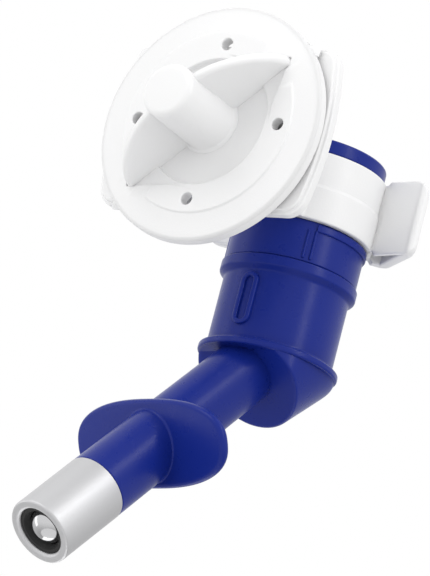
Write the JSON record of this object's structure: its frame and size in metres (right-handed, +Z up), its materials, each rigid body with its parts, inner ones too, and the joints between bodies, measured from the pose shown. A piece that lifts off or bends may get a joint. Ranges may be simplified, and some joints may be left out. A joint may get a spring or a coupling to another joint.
{
  "type": "pet drinking nozzle with cage clamp",
  "caption": "Screw-on drinking nozzle for an upturned bottle: angled spout with a sprung ball valve, oval shield and steel sleeve, in a snap bracket with a wing-nut cage clamp.",
  "frame": {"origin": "on the axis of the clamp stud, in the plane of the back plate's clamping face", "axes": "-Y out through the cage wall along the stud, +Z up along the bottle's axis, +X to the right seen from the cage"},
  "size_m": [0.0586, 0.0825, 0.1338],
  "materials": {
    "white_plastic": "semi-gloss moulded polypropylene",
    "blue_plastic": "semi-gloss moulded polypropylene",
    "seal_rubber": "matt black",
    "stainless_steel": "satin drawn tube",
    "polished_steel": "polished ball",
    "spring_steel": "bright wire"
  },
  "bodies": {
    "bracket": {"back_plate": "white_plastic", "bracket_neck": "white_plastic", "clip_ring": "white_plastic", "clip_tab_right": "white_plastic", "clip_tab_left": "white_plastic", "clamp_stud": "white_plastic"},
    "washer": {"thrust_washer": "white_plastic"},
    "disc": {"turn_disc": "white_plastic", "wing_grip": "white_plastic"},
    "nozzle": {"bottle_cap": "blue_plastic", "neck_gasket": "seal_rubber", "cap_o_ring": "seal_rubber", "nozzle_body": "blue_plastic", "root_o_ring": "seal_rubber", "nozzle_tube": "blue_plastic", "tube_shield": "blue_plastic", "steel_sleeve": "stainless_steel", "sleeve_o_ring": "seal_rubber", "seat_ring": "seal_rubber", "valve_spring": "spring_steel"},
    "valve": {"valve_ball": "polished_steel", "ball_cup": "white_plastic"}
  },
  "joints": [
    {"name": "disc_travel", "type": "slide", "parent": "bracket", "child": "washer", "axis": [0, -1, 0], "range_m": [0, 0.018]},
    {"name": "disc_turn", "type": "hinge", "parent": "washer", "child": "disc", "pos_m": [0, 0, 0], "axis": [0, -1, 0], "range_deg": [0, 2160]},
    {"name": "nozzle_turn", "type": "hinge", "parent": "bracket", "child": "nozzle", "pos_m": [0, 0.0427, 0], "axis": [0, 0, 1], "continuous": true},
    {"name": "valve_push", "type": "slide", "parent": "nozzle", "child": "valve", "axis": [0.1422, 0.631, 0.7627], "range_m": [0, 0.0025], "stiffness_N_per_m": 250, "springref_m": -0.004, "deforming": ["valve_spring"]}
  ],
  "couplings": [
    {"joint": "disc_travel", "follows": "disc_turn", "m_per_rad": 0.00047746}
  ]
}
